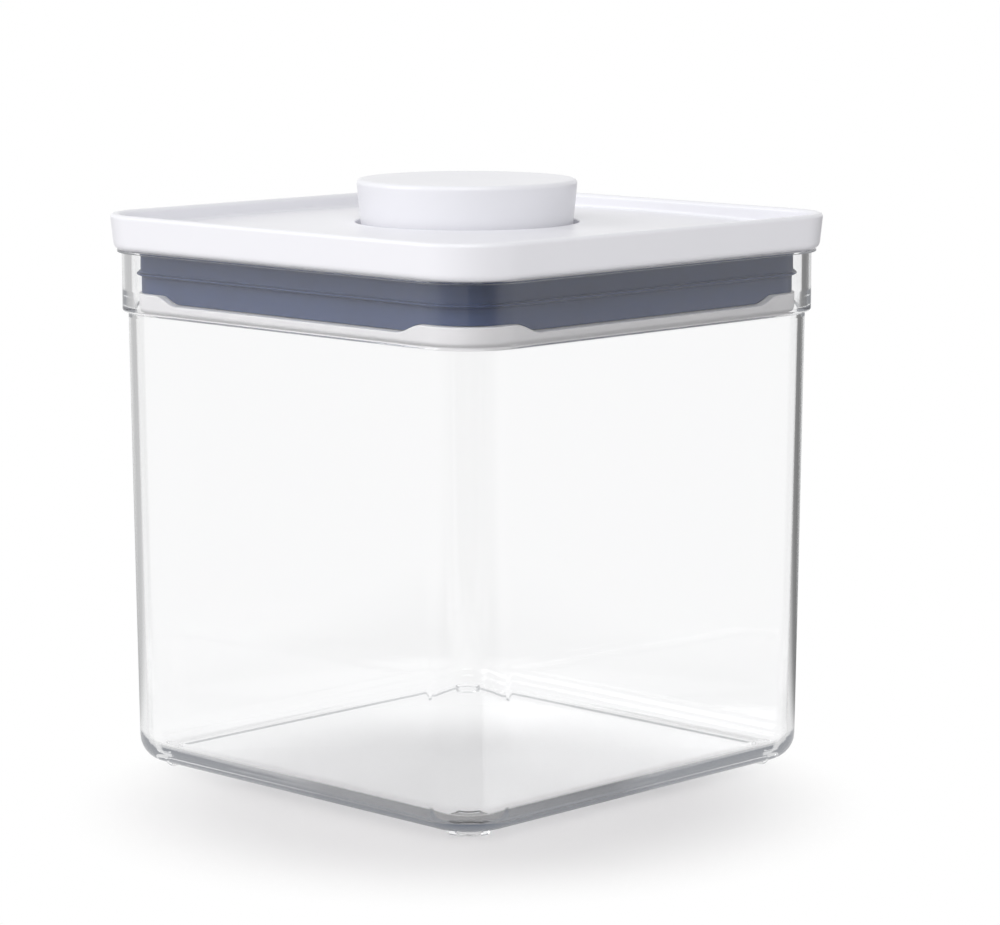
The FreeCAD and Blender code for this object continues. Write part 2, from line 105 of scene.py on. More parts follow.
class ContainerBodySizes(bpy.types.PropertyGroup):
    """Sizes of the clear body."""
    height: length("Height", "Feet to rim", BODY_HIGH.z)
    band_half: length("Band half width", "Half the width across the band", 0.07765)
    flange: length("Rim flange", "How far the flange stands out from the band", 0.0014)
    flange_height: length("Flange thickness", "Thickness of that flange", 0.0007)
    flange_round: length("Flange round", "Radius along the flange's upper edge", 0.0003)
    flange_under: length("Flange underside", "Radius along the flange's lower edge", 0.00025)
    flange_root: length("Flange root", "Radius where the flange meets the band", 0.0003)
    rim_step: length("Rim step", "How far the band stands out from the walls", 0.00175)
    band_height: length("Rim band height", "Height of the band under the rim", 0.018)
    wall: length("Wall", "Thickness of the walls", 0.0021)
    band_wall: length("Band wall", "Thickness of the band", 0.0028)
    taper: length("Taper", "How far each wall leans in towards the base", 0.00175)
    corner: length("Corner radius", "Outer radius of the walls under the ledge", 0.0178)
    lip_round: length("Lip round", "Radius along the rim's inner edge", 0.0009)
    ledge_round: length("Ledge round", "Radius along the ledge under the band", 0.0008)
    inner_step: length("Inner step", "Height over which the inside leans out to the band", 0.008)
    inner_start: length("Inner step start", "How far under the ledge that starts", 0.002)
    inner_round: length("Inner round", "Radius at both ends of the step inside", 0.001)
    base_round: length("Base round", "Radius along the bottom edge", 0.0075)
    floor_round: length("Floor round", "Inner radius where the floor meets the walls", 0.005)
    floor: length("Floor", "Thickness of the floor", 0.003)
    recess: length("Base recess", "Depth of the hollow under the base", 0.0008)
    ring_width: length("Base ring", "Width of the ring round that hollow", 0.0026)
    foot: length("Foot height", "Feet below the base ring", 0.0015)
    foot_width: length("Foot width", "Width of each corner foot", 0.0044)
    foot_bevel: length("Foot bevel", "Bevel along each foot", 0.0005)
    foot_sweep: angle("Foot sweep", "Part of the corner that each foot follows", 84)


class ContainerLidSizes(bpy.types.PropertyGroup):
    """Sizes of the lid's cover."""
    half: length("Half width", "Half the width across the top edge", 0.0801)
    corner: length("Corner radius", "Radius of the outer corners", 0.020)
    seat: length("Seat", "Height of the lid's underside", COVER_LOW.z)
    top: length("Top", "Height of the raised rim", COVER_HIGH.z)
    lean: length("Lean", "How far the side leans in towards the bottom", 0.0011)
    bottom_round: length("Bottom round", "Radius along the bottom edge", 0.0022)
    rim: length("Rim width", "Width of the raised rim", 0.003)
    rim_outer_round: length("Rim outer round", "Radius outside the rim", 0.001)
    rim_inner_round: length("Rim inner round", "Radius inside the rim", 0.0012)
    deck_round: length("Deck fillet", "Radius where the deck meets the rim", 0.0009)
    deck_depth: length("Deck depth", "Rim to deck at the middle of a side", 0.0041)
    crown: length("Crown", "Rise of the deck towards the button", 0.0016)
    deck: length("Deck thickness", "Thickness of the deck", 0.0019)
    hole: length("Hole radius", "Radius of the hole for the button", 0.033)
    hole_round: length("Hole round", "Radius along the hole's upper edge", 0.0005)
    post: length("Post radius", "Radius of the four posts inside", 0.0032)
    post_inset: length("Post inset", "From the cover's side to a post's axis", 0.022)
    plate: length("Housing plate", "Thickness of the plate that closes the cover", 0.002)


class ContainerButtonSizes(bpy.types.PropertyGroup):
    """Sizes of the push button and its spring."""
    top: length("Top", "Height of the raised button", BUTTON_HIGH.z)
    low: length("Low", "Height of the underside of the button's flange", BUTTON_LOW.z)
    radius: length("Radius", "Widest radius, at the top", 0.0326)
    flange: length("Flange radius", "Radius of the flange under the deck", BUTTON_HIGH.x)
    flange_height: length("Flange height", "Thickness of the flange", 0.0013)
    draft: amount("Draft", "Radius lost for each unit of height going down", 0.1)
    wall: length("Wall", "Thickness of the side", 0.0018)
    cap: length("Cap thickness", "Thickness of the top, with the dish", 0.0029)
    edge_round: length("Edge round", "Radius round the top edge", 0.0013)
    dish: length("Dish", "Depth of the hollow in the top", 0.0007)
    core_ring: length("Core ring", "Inner radius of the ring that centres the core", 0.02715)
    core_ring_width: length("Core ring width", "Width of that ring", 0.0013)
    core_ring_depth: length("Core ring depth", "Depth of that ring", 0.0026)
    travel: length("Travel", "How far the button goes down", 0.011)
    wire: length("Spring wire", "Thickness of the spring's wire", 0.0012)
    turns: amount("Spring turns", "Turns of the spring", 8.0, 20.0)


class ContainerSealSizes(bpy.types.PropertyGroup):
    """Sizes of the gasket and the frame under it."""
    corner: length("Corner centre", "From the axis to the centre of each corner", 0.0581)
    frame_half: length("Frame half width", "Half the width across the frame", FRAME_HIGH.x)
    frame_low: length("Frame bottom", "Height of the frame's underside", FRAME_LOW.z)
    frame_edge: length("Frame edge", "Height of the frame's edge along the sides", 0.003)
    frame_rise: length("Corner rise", "Extra height of the edge at the corners", 0.0026)
    frame_round: length("Frame round", "Radius along the frame's bottom edge", 0.0016)
    frame_top_round: length("Frame top round", "Radius along the frame's top edge", 0.0004)
    ramp_start: length("Ramp start", "From the middle of a side to the foot of each ramp", 0.0459)
    ramp: length("Ramp", "Length of each ramp", 0.0092)
    seat_half: length("Seat half width", "Half the width across the gasket's step", 0.069)
    guide_half: length("Guide half width", "Half the width across the frame's guide wall", 0.0639)
    guide_wall: length("Guide wall", "Thickness of the guide wall", 0.0016)
    guide_top: length("Guide top", "Height of the guide wall", FRAME_HIGH.z)
    lug_inner: length("Lug reach", "From the axis to the inner end of each lug", 0.0586)
    lug_width: length("Lug width", "Width of each lug", 0.009)
    lug: length("Lug thickness", "Thickness of each lug", 0.0016)
    plate_half: length("Plate half width", "Half the width across the bottom cover", PLATE_HIGH.x)
    plate_top: length("Plate top", "Height of the bottom cover's upper face", PLATE_HIGH.z)
    plate_bevel: length("Plate bevel", "Bevel along the bottom cover's lower edge", 0.0005)
    plate_gap: length("Plate gap", "Bottom cover to the frame round it", 0.00015)
    gasket_top: length("Gasket top", "Height of the gasket's upper face", GASKET_HIGH.z)
    gasket_skin: length("Gasket skin", "Thickness of the gasket's wall", 0.002)
    gasket_fold: length("Gasket fold", "Thickness of the gasket's inward folds", 0.0017)
    fold_half: length("Fold half width", "Half the width inside the folds", 0.0663)
    lip_half: length("Lip half width", "Half the width across the gasket's lip", 0.07335)
    lip_top: length("Lip top", "Height of the lip's upper face", 0.1483)
    lip: length("Lip", "Thickness of the lip at its root", 0.0012)
    lip_reach: length("Lip reach", "How far the lip stands out from the gasket's face", 0.00205)
    skirt_step: length("Skirt step", "How far the skirt under the lip is set in", 0.0005)
    face_lean: length("Face lean", "How far the face above the lip leans in", 0.0001)
    soft_gap: length("Soft gap", "Gasket to the frame under it", 0.00015)


class ContainerFinishes(bpy.types.PropertyGroup):
    """Colours and gloss of the materials."""
    clear: colour("Clear plastic", "Tint of the clear body", (1.0, 1.0, 1.0))
    clear_depth: colour("Clear depth", "Colour that long ways through it take on", (0.80, 0.82, 0.86))
    clear_density: amount(
        "Clear density", "Light taken per metre, times what that colour lacks", 22.0, 1000.0)
    clear_shade: amount("Clear shade", "Share of a lamp's light that passes each of its faces", 0.86)
    # Strength of the painted glow that ends deep sight lines inside the clear body
    clear_deep: amount("Clear deep", "Level of what is seen past four reflections inside", 0.4)
    clear_ior: amount("Clear index", "Index of refraction of the clear body", 1.49, 2.5)
    white: colour("White plastic", "Cover and button", (0.885, 0.885, 0.925))
    white_gloss: amount("White roughness", "Roughness of the cover and the button", 0.3)
    inner: colour("Inner white", "Frame, bottom cover and housing", (0.83, 0.82, 0.83))
    inner_gloss: amount("Inner roughness", "Roughness of the inner white plastic", 0.36)
    natural: colour("Natural plastic", "Levers, barrel and chassis", (0.62, 0.61, 0.57))
    natural_gloss: amount("Natural roughness", "Roughness of the natural plastic", 0.46)
    silicone: colour("Silicone", "Gasket", (0.05, 0.073, 0.156))
    steel: colour("Steel", "Pins, spring and washer", (0.48, 0.48, 0.49))


class ContainerStudio(bpy.types.PropertyGroup):
    """Camera, floor and lamps."""
    camera_distance: length("Camera distance", "Camera to the object's axis, in plan", 1.0702)
    camera_height: length("Camera height", "Camera above the floor", 0.25187)
    camera_azimuth: angle("Camera azimuth", "Where the camera stands, turned from the -Y side", 44.76)
    look_azimuth: angle("Look azimuth", "Direction in which the camera looks", 44.24)
    look_down: angle("Look down", "Angle of the camera under the horizon", 8.55)
    lens: bpy.props.FloatProperty(
        name="Lens", description="Focal length on a 36 mm sensor", default=130.95, unit="CAMERA")
    floor_half: length("Floor half width", "Half the width of the floor", 30.0)
    floor: colour("Floor", "Colour of the floor", (0.86, 0.85, 0.855))
    floor_lift: amount("Floor lift", "Light added to the floor where the camera sees it", 0.03)
    shadow_shift: length("Shadow shift", "From the axis to the middle of the floor's grey part", 0.05)
    shadow_near: length("Shadow near", "From that middle to where the floor starts to turn white", 0.055)
    shadow_far: length("Shadow far", "From that middle to where the floor is all white", 0.118)
    # Painted reflection: how light the floor looks in mirror reflections, by direction, though it is white
    # there
    edge_mirror: amount("Edge reflections", "Floor beyond the right edge, as mirrored", 0.2)
    left_mirror: amount("Left reflections", "Floor beyond the left edge, as mirrored", 0.55)
    side_mirror: amount("Side reflections", "Floor at the sides, as mirrored", 0.8)
    front_mirror: amount("Front reflections", "Floor before the camera, as mirrored", 0.35)
    ambient: amount("Ambient", "Light from all round", 0.5, 10.0)
    left_lamp: amount("Left lamp", "Power of the lamp on the left", 13.0, 1000.0)
    right_lamp: amount("Right lamp", "Power of the lamp on the right", 13.0, 1000.0)


GROUPS = {
    "container_body_sizes": ContainerBodySizes,
    "container_lid_sizes": ContainerLidSizes,
    "container_button_sizes": ContainerButtonSizes,
    "container_seal_sizes": ContainerSealSizes,
    "container_finishes": ContainerFinishes,
    "container_studio": ContainerStudio,
}

QUARTER = math.pi / 2
WHITE = (1, 1, 1, 1)

# How fine the surfaces are
ARC_STEPS = 8
ARC_POINTS = ARC_STEPS + 3  # an arc's points, with the close one past each end
SIDE_STEPS = 10
CORNER_STEPS = 18
FOOT_STEPS = 17
RAMP_STEPS = 13
DECK_STEPS = 24
BUTTON_STEPS = 144
DISH_STEPS = 16
POST_STEPS = 32
LUG_STEPS = 6  # round each of a lug's corners
TURN_STEPS = 40  # along each turn of the spring
WIRE_STEPS = 10  # round the spring's wire
SMOOTH_ANGLE = math.radians(38)  # the shading breaks where faces turn by more

# Small lengths in metres
MOULD_ROUND = 0.0002  # a round that the mould leaves on an edge
SUPPORT = 0.00012  # from a round to the close point past its end
CAP_EDGE = 0.0005  # corner radius of the outline from which a flat end closes to its middle
HAIR = 0.00002  # what keeps two points of a step apart


# Profiles and paths

def rounded(corners):
    """Profile through (half width, height) corners, where a third number rounds the corner.

    A rounded corner becomes an arc tangent to both runs: its ends lie radius over the tangent of the
    half angle from the corner, and its points are spread evenly by angle between them. A close point
    past each end keeps the shading of the flat runs flat.
    """
    points = np.array([corner[:2] for corner in corners], float)
    radii = [corner[2] if len(corner) > 2 else 0.0 for corner in corners]
    runs = []
    for before, here, after, radius in zip(np.roll(points, 1, 0), points, np.roll(points, -1, 0), radii):
        if not radius:
            runs.append(here[None])
            continue
        back = (before - here) / np.linalg.norm(before - here)
        on = (after - here) / np.linalg.norm(after - here)
        half = math.acos(np.clip(back @ on, -1, 1)) / 2
        reach = radius / math.tan(half)
        middle = (back + on) / np.linalg.norm(back + on)
        centre = here + middle * radius / math.sin(half)
        first = here + back * reach - centre
        last = here + on * reach - centre
        share = np.linspace(0, 1, ARC_STEPS + 1)[:, None]
        sweep = math.pi - 2 * half
        arc = (np.sin((1 - share) * sweep) * first + np.sin(share * sweep) * last) / math.sin(sweep)
        support = min(SUPPORT, reach / 4)
        runs.append(np.vstack([
            here + back * (reach + support), centre + arc, here + on * (reach + support)]))
    return np.vstack(runs)


def side_stops(centre, extra=()):
    """Even steps along half a side, with a close point before the corner and at any places named."""
    even = np.linspace(0, centre - 4 * SUPPORT, SIDE_STEPS)
    return np.unique(np.concatenate([even, np.asarray(extra, float), [centre]]))


def turned(flat, quarter):
    """Places in plan turned about the axis by a number of quarters."""
    c, s = math.cos(quarter * QUARTER), math.sin(quarter * QUARTER)
    return flat @ np.array([[c, s], [-s, c]])


def square_path(centre, along, turns=None):
    """Points round a square of half width centre, with the outward direction at each.

    A quarter is the half side that faces +X, the corner, and the half side that faces +Y. Along a
    side the point moves and the direction stays. At a corner the point stays at (centre, centre) and
    the direction turns a quarter. The other quarters are this one turned.
    """
    if turns is None:
        turns = np.linspace(0, QUARTER, CORNER_STEPS + 1)[1:-1]
    fixed = np.full(len(along), centre)
    turn = np.concatenate([np.zeros(len(along)), turns, np.full(len(along), QUARTER)])[:-1]
    x = np.concatenate([fixed, np.full(len(turns), centre), along[::-1]])[:-1]
    y = np.concatenate([along, np.full(len(turns), centre), fixed])[:-1]
    base = np.stack([x, y], 1)
    outward = np.stack([np.cos(turn), np.sin(turn)], 1)
    return {
        "centre": centre,
        "base": np.vstack([turned(base, quarter) for quarter in range(4)]),
        "outward": np.vstack([turned(outward, quarter) for quarter in range(4)]),
        "along": np.tile(np.minimum(x, y), 4),
        "turn": np.tile(turn, 4),
    }


def round_path(count):
    """Directions round a full circle, as a path whose square has no width."""
    turn = np.linspace(0, 4 * QUARTER, count, endpoint=False)
    return {
        "centre": 0.0,
        "base": np.zeros((count, 2)),
        "outward": np.stack([np.cos(turn), np.sin(turn)], 1),
    }


def carried(path, half, height):
    """Carry a profile along a path.

    A point is the path's point times half width over centre, at most 1, plus the outward direction
    times what the half width has beyond the centre. Half width and height are one row for all of the
    path, or a table with a row for each of its points.
    """
    half, height, _ = np.broadcast_arrays(np.atleast_2d(half), height, path["base"][:, :1])
    centre = path["centre"]
    share = np.clip(half / centre, 0, 1) if centre else np.zeros_like(half)
    beyond = np.clip(half - centre, 0, None)
    flat = path["base"][:, None] * share[..., None] + path["outward"][:, None] * beyond[..., None]
    return np.concatenate([flat, height[..., None]], 2)


def rounded_rectangle(half_x, half_y, radius):
    """Outline of an upright block and its outward directions: a quarter circle at each corner."""
    turn = np.linspace(0, QUARTER, LUG_STEPS + 1)
    turn = np.concatenate([turn + quarter * QUARTER for quarter in range(4)])
    outward = np.stack([np.cos(turn), np.sin(turn)], 1)
    sign = np.repeat([(1, 1), (-1, 1), (-1, -1), (1, -1)], LUG_STEPS + 1, 0)
    return sign * (half_x - radius, half_y - radius) + outward * radius, outward


def block(outline, outward, low, high):
    """Table of points for an upright block, closed by a pole at each end.

    Each level is the outline less the outward direction times an inset. The inset follows a quarter
    circle at both ends.
    """
    turn = np.linspace(0, QUARTER, 4)
    inset = MOULD_ROUND * (1 - np.sin(turn))
    drop = MOULD_ROUND * (1 - np.cos(turn))
    inset = np.concatenate([inset, inset[::-1]])
    height = np.concatenate([low + drop, high - drop[::-1]])
    flat = outline[:, None] - outward[:, None] * inset[None, :, None]
    centre = np.broadcast_to(outline.mean(0), (len(outline), 1, 2))
    flat = np.concatenate([centre, flat, centre], 1)
    height = np.concatenate([[low], height, [high]])
    return np.concatenate([flat, np.broadcast_to(height[None, :, None], (*flat.shape[:2], 1))], 2)


# Meshes

def grid_faces(points, loop):
    """Corners and faces of a table of points that is closed round its rows.

    With loop, each row's last point joins its first. Without it, the first and last columns are one
    point each, closed by triangles. Faces point outwards, by the sign of the volume: the sum over the
    triangles of a corner times the cross product of the other two.
    """
    body = points if loop else points[:, 1:-1]
    rows, width = body.shape[:2]
    row = np.arange(rows)
    column = np.arange(width if loop else width - 1)
    following, beside = (row + 1) % rows, (column + 1) % width
    here, on = row[:, None] * width, following[:, None] * width
    quads = np.stack([here + column, here + beside, on + beside, on + column], 2).reshape(-1, 4)
    corners, caps = body.reshape(-1, 3), np.zeros((0, 3), int)
    if not loop:
        start, last = len(corners), width - 1
        corners = np.vstack([corners, points[0, 0], points[0, -1]])
        caps = np.vstack([
            np.stack([np.full(rows, start), row * width, following * width], 1),
            np.stack([np.full(rows, start + 1), following * width + last, row * width + last], 1)])
    triangles = np.vstack([quads[:, [0, 1, 2]], quads[:, [0, 2, 3]], caps])
    a, b, c = (corners[triangles[:, k]] for k in range(3))
    if np.einsum("ij,ij->", a, np.cross(b, c)) < 0:
        quads, caps = quads[:, ::-1], caps[:, ::-1]
    return corners, quads, caps


def placed(name, data):
    """New object in the scene, from a mesh, a lamp or a camera."""
    made = bpy.data.objects.new(name, data)
    bpy.context.scene.collection.objects.link(made)
    return made


def mesh_piece(name, *tables):
    """Mesh object from tables of points, each given with whether its profile is a loop."""
    corners, faces, count = [], [], 0
    for points, loop in tables:
        some, quads, caps = grid_faces(points, loop)
        corners.append(some)
        faces += (quads + count).tolist() + (caps + count).tolist()
        count += len(some)
    mesh = bpy.data.meshes.new(name)
    mesh.from_pydata(np.vstack(corners).tolist(), [], faces)
    mesh.shade_smooth()
    mesh.set_sharp_from_angle(angle=SMOOTH_ANGLE)
    if mesh.validate():
        raise RuntimeError(f"{name}: the mesh had faults")
    return placed(name, mesh)


# Materials

class Shading:
    """Short calls that build the nodes of one material or world."""

    def __init__(self, owner, output="OutputMaterial"):
        owner.use_nodes = True
        self.tree = owner.node_tree
        self.tree.nodes.clear()
        self.output = self.add(output)

    def add(self, kind, *inputs, **named):
        """A shader node whose sockets take values or links, in their order or by name."""
        node = self.tree.nodes.new("ShaderNode" + kind)
        pairs = [*zip(node.inputs, inputs)]
        pairs += [(node.inputs[key.replace("_", " ")], value) for key, value in named.items()]
        for socket, value in pairs:
            if isinstance(value, bpy.types.NodeSocket):
                self.tree.links.new(value, socket)
            else:
                socket.default_value = value
        return node

    def place(self):
        """Where the point lies on the piece."""
        return self.add("TexCoord").outputs["Object"]

    def path(self):
        """What is known of the ray that sees the point."""
        return self.add("LightPath").outputs

    def noise(self, scale, detail=3.0, roughness=0.5, place=None):
        """Cloudy pattern with features of about one over scale metres."""
        return self.add(
            "TexNoise", Vector=place or self.place(), Scale=scale, Detail=detail,
            Roughness=roughness).outputs["Fac"]

    def ranged(self, value, low, high, start=0.3, end=0.7, smooth=False):
        """A number from low to high as a value goes from start to end, evenly or by a smooth step.

        The usual start and end are the middle of a pattern."""
        node = self.add("MapRange", value, start, end, low, high)
        node.interpolation_type = "SMOOTHSTEP" if smooth else "LINEAR"
        return node.outputs["Result"]

    def read_off(self, value, *stops):
        """A number on the straight lines between stops, each a value from -1 to 1 and its number."""
        node = self.add("ValToRGB", self.ranged(value, 0.0, 1.0, -1.0, 1.0))
        marks = node.color_ramp.elements
        for mark, (_, number) in zip(marks, (stops[0], stops[-1])):
            mark.color = (number, number, number, 1)
        for place, number in stops:
            marks.new((place + 1) / 2).color = (number, number, number, 1)
        return node.outputs["Color"]

    def mixed(self, share, first, second):
        """A colour between two colours."""
        node = self.add("Mix", share)
        node.data_type = "RGBA"
        node.inputs[6].default_value = (*first, 1)
        node.inputs[7].default_value = (*second, 1)
        return node.outputs[2]

    def number(self, operation, first, second):
        """A number worked out from two others."""
        node = self.add("Math", first, second)
        node.operation = operation
        return node.outputs[0]

    def vector(self, operation, *inputs):
        """A vector operation, whose result is a vector for NORMALIZE and otherwise a number."""
        node = self.add("VectorMath", *inputs)
        node.operation = operation
        return node.outputs["Vector" if operation == "NORMALIZE" else "Value"]

    def blended(self, share, *shaders):
        """A shader between two shaders, where a missing second one stands for black."""
        return self.add("MixShader", share, *[shader.outputs[0] for shader in shaders])

    def bump(self, height, strength, distance):
        """Surface relief from a pattern."""
        return self.add("Bump", Height=height, Strength=strength, Distance=distance).outputs[0]

    def finish(self, shader):
        """Send a shader to the output's surface."""
        self.tree.links.new(shader.outputs[0], self.output.inputs["Surface"])


def shaded(tint, share):
    """A colour multiplied by a number."""
    return tuple(part * share for part in tint)


def moulded_plastic(n, tint, rough, grain):
    """Moulded plastic: a faint flow cloud in the colour, smears in the gloss and a fine skin."""
    n.finish(n.add(
        "BsdfPrincipled",
        Base_Color=n.mixed(n.noise(scale=38, detail=4), shaded(tint, 0.985), tint),
        Roughness=n.ranged(n.noise(scale=90), rough * 0.92, rough * 1.08),
        Normal=n.bump(n.noise(scale=2600, detail=2), grain, 0.0001),
        IOR=1.5))


def clear_plastic(n, tint, index, depth, density, shade, deep):
    """Clear moulded plastic: refracting, with a slight wave from the mould, and open to rays from lamps.

    Inside, light falls off evenly with the way that it goes. A sight line that has been reflected four
    times ends there in a painted glow, an even grey light given off in the depth colour, because the
    paths that go on inside the base would end in black."""
    shader = n.add(
        "BsdfPrincipled",
        Base_Color=(*tint, 1), IOR=index, Transmission_Weight=1.0,
        Roughness=n.ranged(n.noise(scale=300, detail=4), 0.0, 0.02),
        Normal=n.bump(n.noise(scale=22, detail=1), 0.04, 0.001))
    inside = n.add("VolumeAbsorption", Color=(*depth, 1), Density=density)
    n.tree.links.new(inside.outputs[0], n.output.inputs["Volume"])
    open_to_lamps = n.add("BsdfTransparent", Color=(*shaded(tint, shade), 1))
    path = n.path()
    four_times = n.number("GREATER_THAN", path["Glossy Depth"], 3.5)
    # Painted glow: light given off in the depth colour where a sight line has gone deep inside
    grey = n.add("Emission", Color=(*depth, 1), Strength=deep)
    seen = n.blended(four_times, shader, grey)
    n.finish(n.blended(path["Is Shadow Ray"], seen, open_to_lamps))


def soft_silicone(n, tint):
    """Silicone rubber: satin, with a faint bloom in the colour and a fine matt skin."""
    bloom = n.noise(scale=90, detail=5, roughness=0.6)
    n.finish(n.add(
        "BsdfPrincipled",
        Base_Color=n.mixed(n.ranged(bloom, 0, 1), shaded(tint, 0.93), shaded(tint, 1.08)),
        Roughness=n.ranged(bloom, 0.42, 0.5),
        Normal=n.bump(n.noise(scale=3000), 0.008, 0.00005),
        IOR=1.41))


def drawn_steel(n, tint):
    """Drawn steel wire and pins: metal with fine streaks along the height."""
    stretch = n.add("Mapping", Vector=n.place(), Scale=(1, 1, 0.05)).outputs[0]
    streak = n.noise(scale=2500, place=stretch)
    n.finish(n.add(
        "BsdfPrincipled",
        Base_Color=n.mixed(streak, shaded(tint, 0.9), tint),
        Metallic=1.0,
        Roughness=n.ranged(streak, 0.22, 0.4),
        Normal=n.bump(streak, 0.06, 0.0001)))


def finish_for(slot, context):
    """The material of one of the slots, made on first use."""
    f = context.scene.container_finishes
    name, make, *values = {
        "clear_body": (
            "Clear plastic", clear_plastic, f.clear, f.clear_ior, f.clear_depth, f.clear_density,
            f.clear_shade, f.clear_deep),
        "white_cover": ("White plastic", moulded_plastic, f.white, f.white_gloss, 0.02),
        "white_inner": ("Inner white plastic", moulded_plastic, f.inner, f.inner_gloss, 0.09),
        "mechanism": ("Natural plastic", moulded_plastic, f.natural, f.natural_gloss, 0.12),
        "silicone": ("Silicone", soft_silicone, f.silicone),
        "steel": ("Drawn steel", drawn_steel, f.steel),
    }[slot]
    if name not in bpy.data.materials:
        make(Shading(bpy.data.materials.new(name)), *values)
    return bpy.data.materials[name]


def dress(context, piece, slot, body, *nodes):
    """Give a new piece its material, its body and the solids that it stands for."""
    piece.data.materials.append(finish_for(slot, context))
    if body:
        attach(piece, body)
    if nodes:
        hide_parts(*nodes)


def repaint(context, slot, *nodes):
    """Give solids that stay the material of a slot."""
    for node in nodes:
        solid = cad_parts[node]
        if not solid.material_slots:
            solid.data.materials.append(None)
        for place in solid.material_slots:
            place.material = finish_for(slot, context)


# Pieces

class CONTAINER_OT_clear_body(bpy.types.Operator):
    """Clear tapered body: one closed profile carried round a rounded square, with feet at its corners.

    Round each foot's part of a corner the profile takes the foot's heights, and elsewhere the side's."""
    bl_idname = "container.clear_body"
    bl_label = "Clear body"

    def execute(self, context):
        s = context.scene.container_body_sizes
        body_half = s.band_half - s.rim_step
        centre = body_half - s.corner
        inner_half = s.band_half - s.band_wall
        ledge = s.height - s.band_height
        base_half = body_half - s.taper
        under = s.foot + s.recess
        floor = under + s.floor
        ring_outer = base_half - s.base_round
        ring_inner = ring_outer - s.ring_width
        foot_inner = ring_outer - s.foot_width
        # Half width, height along the side, height along a foot
        lower = np.array([
            (0, under, under),
            (centre + CAP_EDGE, under, under),
            (foot_inner, under, under),
            (foot_inner + HAIR, under, s.foot_bevel),
            (foot_inner + s.foot_bevel, under, 0),
            (ring_inner - s.recess, under, 0),
            (ring_inner, s.foot, 0),
            (ring_outer - s.foot_bevel, s.foot, 0),
            (ring_outer - HAIR, s.foot, s.foot_bevel),
        ])
        upper = rounded([
            (ring_outer - s.foot_bevel, s.foot),
            (base_half, s.foot, s.base_round),
            (body_half, ledge - s.ledge_round, MOULD_ROUND),
            (s.band_half, ledge, s.ledge_round),
            (s.band_half, s.height - s.flange_height, s.flange_root),
            (s.band_half + s.flange, s.height - s.flange_height, s.flange_under),
            (s.band_half + s.flange, s.height, s.flange_round),
            (inner_half, s.height, s.lip_round),
            (inner_half, ledge - s.inner_start + s.inner_step, s.inner_round),
            (body_half - s.wall, ledge - s.inner_start, s.inner_round),
            (base_half - s.wall, floor, s.floor_round),
            (centre + CAP_EDGE, floor),
            (0, floor),
        ])[2:]
        half, side, foot = np.vstack([lower, upper[:, [0, 1, 1]]]).T
        start = QUARTER / 2 - s.foot_sweep / 2
        end = QUARTER - start
        slope = 0.004  # part of the turn over which a foot's ends rise
        along_foot = np.linspace(start + slope, end - slope, FOOT_STEPS)
        turns = np.concatenate([[start / 2, start], along_foot, [end, end + start / 2]])
        path = square_path(centre, side_stops(centre), turns)
        on_foot = np.isin(path["turn"], along_foot)[:, None]
        points = carried(path, half, np.where(on_foot, foot, side))
        piece = mesh_piece("clear_body", (points, False))
        dress(context, piece, "clear_body", "container", "container_body")
        return {"FINISHED"}


